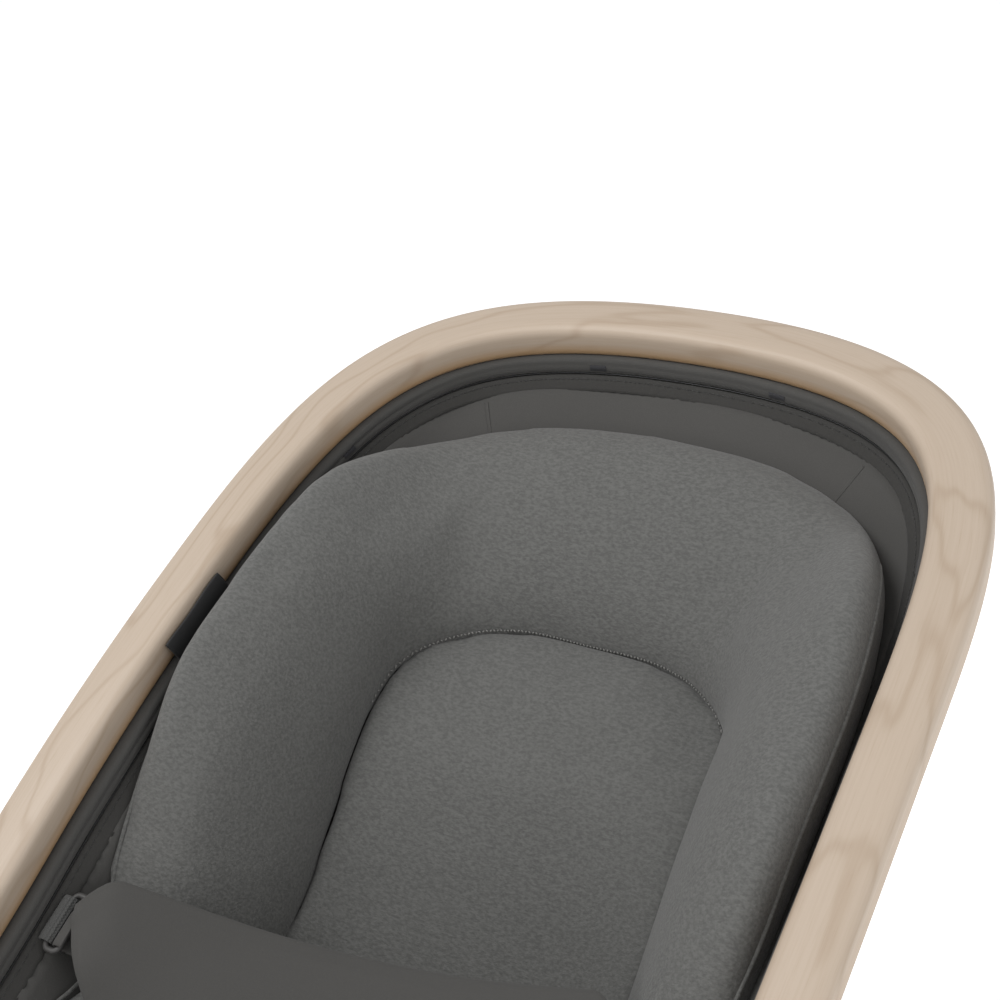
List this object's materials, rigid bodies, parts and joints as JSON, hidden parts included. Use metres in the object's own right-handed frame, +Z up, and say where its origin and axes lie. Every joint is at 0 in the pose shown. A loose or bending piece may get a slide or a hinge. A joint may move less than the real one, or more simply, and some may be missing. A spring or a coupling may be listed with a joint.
{
  "type": "baby bouncer seat",
  "caption": "Reclining baby bouncer with an oval bent-wood ring, zip-in fabric sling, padded newborn insert and belly-panel harness on a rocking tube base with fold-down stops.",
  "frame": {"origin": "on the floor, under the middle of the ring's outline at rest", "axes": "+Z up, +Y towards the head end, +X towards the child's left hand"},
  "size_m": [0.444, 0.7266, 0.5653],
  "materials": {
    "wood": "pale oiled ash, fine straight grain",
    "painted_steel": "satin charcoal powder coat",
    "bare_steel": "zinc plated",
    "dark_plastic": "fine moulded texture",
    "grey_plastic": "fine moulded texture",
    "white_nylon": "smooth nylon",
    "rubber": "matt rubber",
    "sling_cloth": "smooth tight weave",
    "edge_cloth": "smooth tight weave",
    "insert_cloth": "brushed melange jersey",
    "webbing": "ribbed polyester webbing",
    "tag_cloth": "woven satin tag, blank",
    "zip_plastic": "black coil zipper",
    "zip_metal": "dark plated"
  },
  "bodies": {
    "base": {"runner_left": "painted_steel", "runner_right": "painted_steel", "runner_strips": "rubber", "front_cross_tube": "painted_steel", "rear_cross_tube": "painted_steel", "tube_collars": "dark_plastic", "tube_plugs": "dark_plastic", "front_leg_left": "painted_steel", "front_leg_right": "painted_steel", "leg_sockets": "dark_plastic", "front_hubs": "dark_plastic", "front_bolts": "bare_steel", "guide_rail_left": "dark_plastic", "guide_rail_right": "dark_plastic", "stop_pins": "bare_steel"},
    "seat": {"wood_ring": "wood", "sling_frame": "painted_steel", "frame_clips": "painted_steel", "ring_screws": "bare_steel", "front_bracket_left": "painted_steel", "front_bracket_right": "painted_steel", "rear_bracket_left": "painted_steel", "rear_bracket_right": "painted_steel", "strut_axles": "bare_steel", "detent_discs": "bare_steel", "lock_cover_left": "dark_plastic", "lock_cover_right": "dark_plastic", "button_springs": "bare_steel", "sling": "sling_cloth", "sling_band": "edge_cloth", "zip_tape": "edge_cloth", "zip_chain": "zip_plastic", "zip_slider": "zip_metal", "insert_bolster": "insert_cloth", "insert_pad": "insert_cloth", "harness_panel": "sling_cloth", "webbing_left": "webbing", "webbing_right": "webbing", "strap_ring_left": "grey_plastic", "strap_ring_right": "grey_plastic", "crotch_strap": "webbing", "buckle_body": "dark_plastic", "buckle_tongue": "dark_plastic", "side_tag": "tag_cloth"},
    "strut": {"strut_leg_left": "painted_steel", "strut_leg_right": "painted_steel", "strut_hub_left": "dark_plastic", "strut_hub_right": "dark_plastic", "strut_knuckles": "dark_plastic", "cross_bar": "bare_steel", "bar_sleeves": "white_nylon", "detent_pins": "bare_steel"},
    "stop_front_left": {"stop_front_left": "dark_plastic"},
    "stop_front_right": {"stop_front_right": "dark_plastic"},
    "stop_rear_left": {"stop_rear_left": "dark_plastic"},
    "stop_rear_right": {"stop_rear_right": "dark_plastic"},
    "release_button_left": {"release_button_left": "grey_plastic"},
    "release_button_right": {"release_button_right": "grey_plastic"},
    "buckle_button": {"buckle_button": "grey_plastic"},
    "zip_pull": {"zip_pull": "zip_metal"}
  },
  "joints": [
    {"name": "seat_recline", "type": "hinge", "parent": "base", "child": "seat", "pos_m": [0, -0.15012, 0.23427], "axis": [1, 0, 0], "range_deg": [-30, 0]},
    {"name": "strut_swing", "type": "hinge", "parent": "seat", "child": "strut", "pos_m": [0, -0.01259, 0.31683], "axis": [1, 0, 0], "range_deg": [0, 56.04]},
    {"name": "stop_front_left_fold", "type": "hinge", "parent": "base", "child": "stop_front_left", "pos_m": [0.165, -0.245, 0.04448], "axis": [1, 0, 0], "range_deg": [0, 80]},
    {"name": "stop_front_right_fold", "type": "hinge", "parent": "base", "child": "stop_front_right", "pos_m": [-0.165, -0.245, 0.04448], "axis": [1, 0, 0], "range_deg": [0, 80]},
    {"name": "stop_rear_left_fold", "type": "hinge", "parent": "base", "child": "stop_rear_left", "pos_m": [0.165, 0.245, 0.04448], "axis": [1, 0, 0], "range_deg": [-80, 0]},
    {"name": "stop_rear_right_fold", "type": "hinge", "parent": "base", "child": "stop_rear_right", "pos_m": [-0.165, 0.245, 0.04448], "axis": [1, 0, 0], "range_deg": [-80, 0]},
    {"name": "release_left_push", "type": "slide", "parent": "seat", "child": "release_button_left", "axis": [-1, 0, 0], "range_m": [0, 0.004], "stiffness_N_per_m": 1500, "springref_m": -0.002},
    {"name": "release_right_push", "type": "slide", "parent": "seat", "child": "release_button_right", "axis": [1, 0, 0], "range_m": [0, 0.004], "stiffness_N_per_m": 1500, "springref_m": -0.002},
    {"name": "buckle_push", "type": "slide", "parent": "seat", "child": "buckle_button", "axis": [0, 0.3327, -0.943], "range_m": [0, 0.003], "stiffness_N_per_m": 1500, "springref_m": -0.002},
    {"name": "zip_pull_swing", "type": "hinge", "parent": "seat", "child": "zip_pull", "pos_m": [0, -0.31241, 0.2244], "axis": [1, 0, 0], "range_deg": [0, 150]}
  ],
  "couplings": [
    {"joint": "strut_swing", "follows": "seat_recline", "ratio": -1.868}
  ]
}
